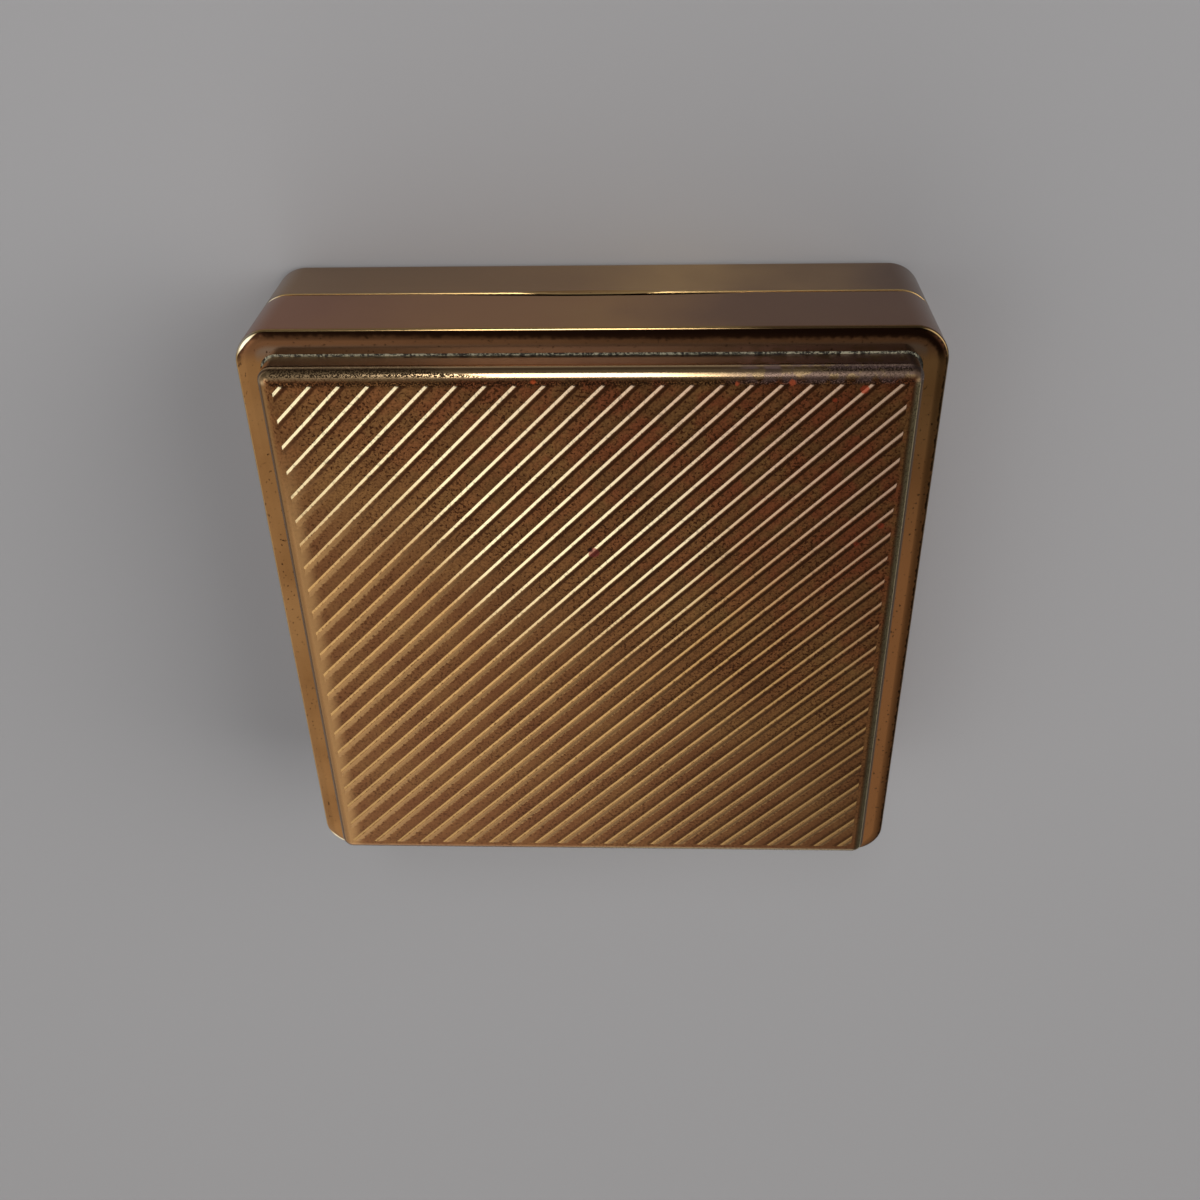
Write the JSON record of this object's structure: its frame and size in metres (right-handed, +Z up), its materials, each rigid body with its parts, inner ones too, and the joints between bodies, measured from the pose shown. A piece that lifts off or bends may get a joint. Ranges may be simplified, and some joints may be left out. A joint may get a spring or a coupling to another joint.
{
  "type": "mini jewelry box",
  "caption": "Small square brass keepsake box with a hinged lid, a raised diagonally ribbed lid panel, a lid mirror and velvet-lined trays.",
  "frame": {"origin": "middle of the underside, on the surface that the shut box lies on", "axes": "+Z up, out of the ribbed lid; the hinge is along the rear at +Y and the box opens at the front, -Y"},
  "size_m": [0.076, 0.076, 0.0236],
  "materials": {
    "case_brass": "polished and brown with age",
    "panel_brass": "pressed ribs, bright on their tops and tarnished between",
    "inner_brass": "clean satin",
    "hinge_brass": "satin, aged",
    "velvet": "short pile",
    "card": "plain pulp board",
    "mirror": "silvered glass"
  },
  "bodies": {
    "base": {"base_shell": "case_brass", "base_sleeve": "inner_brass", "base_hinge_leaf": "hinge_brass", "hinge_pin": "hinge_brass", "floor_card": "card", "front_lining": "velvet", "rear_lining": "velvet", "left_lining": "velvet", "right_lining": "velvet", "long_divider": "velvet", "short_divider": "velvet", "rear_pad": "velvet", "left_pad": "velvet", "right_pad": "velvet"},
    "lid": {"lid_shell": "case_brass", "lid_panel": "panel_brass", "lid_hinge_leaf": "hinge_brass", "mirror_card": "card", "mirror_glass": "mirror", "mirror_bezel": "inner_brass"}
  },
  "joints": [
    {"name": "lid_hinge", "type": "hinge", "parent": "base", "child": "lid", "pos_m": [0, 0.03712, 0.0094], "axis": [-1, 0, 0], "range_deg": [0, 105]}
  ]
}
